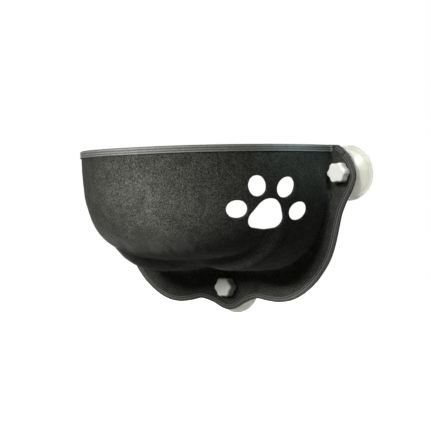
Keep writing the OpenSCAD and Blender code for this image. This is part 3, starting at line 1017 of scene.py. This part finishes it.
def threadedReach(endY):
    threadFrom = stud["headY"] + stud["headT"] + stud["plain"]

    def reach(r, h, angles):
        if not stud["r"] - stud["chamfer"] <= r <= stud["r"] or h < threadFrom:
            return np.full(len(angles), float(r))
        phase = np.mod(h / stud["pitch"] - angles / (2 * math.pi), 1)
        depth = stud["cut"] * np.clip(stud["steep"] * (1 - np.abs(2 * phase - 1)) - stud["crest"], 0, 1)
        return np.minimum(r - depth, stud["r"] - max(0, h - (endY - stud["chamfer"])))

    return reach


def buildStud(place):
    endY = nodeSpan("cup_stud_" + place)[2]
    obj = buildTurned("threaded_stud_", place, studProfile(endY), stud, threadedReach(endY))
    dress(obj, "perch", "stud_steel", zincSteel, "cup_stud_" + place)


washer = {"holeR": 4.3, "round": 0.3, "sides": 96, "steps": 5, "sharpAt": 35}


def buildWasher(place, side, body):
    y0, y1, r = nodeSpan(side + "_washer_" + place)[1:]
    hole, soft = washer["holeR"], washer["round"]
    corners = [(hole, y0), (r, y0), (r, y1), (hole, y1), (hole, y0)]
    profile = rounded(corners, [0, soft, soft, soft, 0], washer["steps"])
    obj = buildTurned(side + "_steel_washer_", place, profile, washer)
    dress(obj, body, "washer_steel", zincSteel, side + "_washer_" + place)


# Six lobed knob: a round blank with soft hollows, a flat closed face and a bored back
knob = {
    "r": 17.4, "lobes": 6, "hollow": 2.2, "hollowR": 12, "soften": 0.7,
    "lobeBand": 6,  # the hollows are cut in this outer band
    "bevel": 4.2, "bevelIn": 3.1, "bevelSteps": 9, "boreR": 4.4, "boreDeep": 15, "sides": 240, "sharpAt": 40,
    "turn": {"upper_left": -4, "upper_right": 4, "lower": 0},  # how far each was screwed on, in degrees
    "clear": 3,  # where a direction meets no hollow, its edge counts as this far outside the blank
}


def lobedReach(turn):
    full, hollowR, soft = knob["r"], knob["hollowR"], knob["soften"]
    step = 2 * math.pi / knob["lobes"]
    centre = full + hollowR - knob["hollow"]

    def reach(r, h, angles):
        if r < full - knob["lobeBand"]:
            return np.full(len(angles), float(r))
        off = np.mod(angles - math.radians(turn), step) - step / 2
        inside = hollowR ** 2 - (centre * np.sin(off)) ** 2
        hollow = centre * np.cos(off) - np.sqrt(np.maximum(inside, 0))
        hollow = np.where(inside > 0, hollow, full + knob["clear"])
        return r - soft * np.log(np.exp((full - hollow) / soft) + 1)

    return reach


def knobProfile(y0, y1):
    r, bevel, bevelIn, bore = knob["r"], knob["bevel"], knob["bevelIn"], knob["boreR"]
    boreEnd = y0 + knob["boreDeep"]
    back = [(0, boreEnd), (bore, boreEnd), (bore, y0 + 0.4), (bore + 0.4, y0), (r - 1.1, y0),
            (r - 0.35, y0 + 0.25), (r - 0.05, y0 + 0.9), (r, y0 + 1.6), (r, (y0 + y1) / 2)]
    edge = [(r - bevelIn * (1 - math.cos(t)), y1 - bevel * (1 - math.sin(t)))
            for t in np.radians(np.linspace(0, 90, knob["bevelSteps"]))]
    face = r - bevelIn
    return back + edge + [(face - 0.5, y1 - 0.02), (face - 1.2, y1), (9, y1 - 0.12), (0, y1 - 0.18)]


def buildKnob(place):
    y0, y1 = nodeSpan("knob_" + place)[1:3]
    obj = buildTurned("lobed_knob_", place, knobProfile(y0, y1), knob, lobedReach(knob["turn"][place]))
    dress(obj, "knob_" + place, "knob_plastic", whiteKnob, "knob_" + place)


for place in places:
    buildCup(place)
    buildStud(place)
    buildWasher(place, "back", "perch")
    buildWasher(place, "front", "front_washer_" + place)
    buildKnob(place)
    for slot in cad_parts["knob_nut_" + place].material_slots:
        slot.material = yellowBrass
print("cups, studs, washers, knobs and nuts made")


# Floor well below the pod, a key sun from the front, a softer one behind that reaches into the bowl,
# a warm spot on the bowl's front, a cool one on its right and a small one on the right ear's knob
studio = {
    "floorZ": -340, "floorHalf": 7000,  # millimetres
    "floorColour": 0.8, "floorGlow": 0.75,  # as the camera sees the floor
    "floorBounce": 0.045, "ambient": 0.1,  # what floor and sky give the pieces
}
suns = {
    "key": {"azimuth": -4, "height": 26, "strength": 2.6, "angle": 16, "colour": (1.0, 0.99, 0.97)},
    "back": {"azimuth": 182, "height": 52, "strength": 1.9, "angle": 35, "colour": (0.96, 0.98, 1.0)},
}
# Each spot stands at a place, in metres, and faces another; the cone is in degrees, edge to edge
spots = {
    "warmSpot": {"at": (-0.22, -0.88, 0.32), "facing": (0.02, -0.28, 0.14), "cone": 18, "softness": 0.08,
                 "power": 44, "colour": (1.0, 0.99, 0.96)},
    "coolSpot": {"at": (0.62, -0.52, 0.62), "facing": (0.2, -0.12, 0.258), "cone": 11.5, "softness": 0.05,
                 "power": 24, "colour": (0.70, 0.95, 0.96)},
    "earSpot": {"at": (0.85, -0.35, 0.50), "facing": (0.240, -0.038, 0.19), "cone": 3.6, "softness": 0.02,
                "power": 14, "colour": (1.0, 1.0, 0.98)},
}


def addLight(name, kind, energy, colour):
    data = bpy.data.lights.new(name, kind)
    data.energy = energy
    data.color = colour
    return data, addObject(name, data)


def addSun(name, sun):
    data, obj = addLight(name, "SUN", sun["strength"], sun["colour"])
    data.angle = math.radians(sun["angle"])
    obj.rotation_euler = (math.radians(90 - sun["height"]), 0, math.radians(sun["azimuth"]))


def addSpot(name, spot):
    data, obj = addLight(name, "SPOT", spot["power"], spot["colour"])
    data.spot_size = math.radians(spot["cone"])
    data.spot_blend = 1.0
    data.shadow_soft_size = spot["softness"]
    obj.location = spot["at"]
    obj.rotation_euler = (Vector(spot["facing"]) - Vector(spot["at"])).to_track_quat("-Z", "Y").to_euler()
    obj.visible_camera = False


# One where the camera sees a surface straight, in a gloss or through something clear, and nought elsewhere
def seenDirectly(tree):
    rays = put(tree, "LightPath").outputs
    either = calc(tree, "MAXIMUM", rays["Is Camera Ray"], rays["Is Glossy Ray"])
    return calc(tree, "MAXIMUM", either, rays["Is Transmission Ray"])


def grey(level):
    return (level, level, level, 1)


def addWorld():
    world = bpy.data.worlds.new("paleStudio")
    scene.world = world
    world.use_nodes = True
    tree = world.node_tree
    tone = mixColours(tree, seenDirectly(tree), grey(studio["ambient"]), grey(1))
    tree.links.new(tone, tree.nodes["Background"].inputs["Color"])


def addFloor():
    half, z = studio["floorHalf"], studio["floorZ"]
    corners = [[-half, -half, z], [half, -half, z], [half, half, z], [-half, half, z]]
    floor = meshFrom("floor", corners, [(0, 1, 2, 3)])
    material, tree, shader = newMaterial("paleFloor", Roughness=0.9, Specular_IOR_Level=0.0,
                                         Emission_Color=grey(1))
    seen = seenDirectly(tree)
    tone = mixColours(tree, seen, grey(studio["floorBounce"]), grey(studio["floorColour"]))
    tree.links.new(tone, shader["Base Color"])
    tree.links.new(calc(tree, "MULTIPLY", seen, studio["floorGlow"]), shader["Emission Strength"])
    floor.data.materials.append(material)


addWorld()
addFloor()
for name, sun in suns.items():
    addSun(name, sun)
for name, spot in spots.items():
    addSpot(name, spot)
scene.view_settings.view_transform = "Standard"
print("studio made")
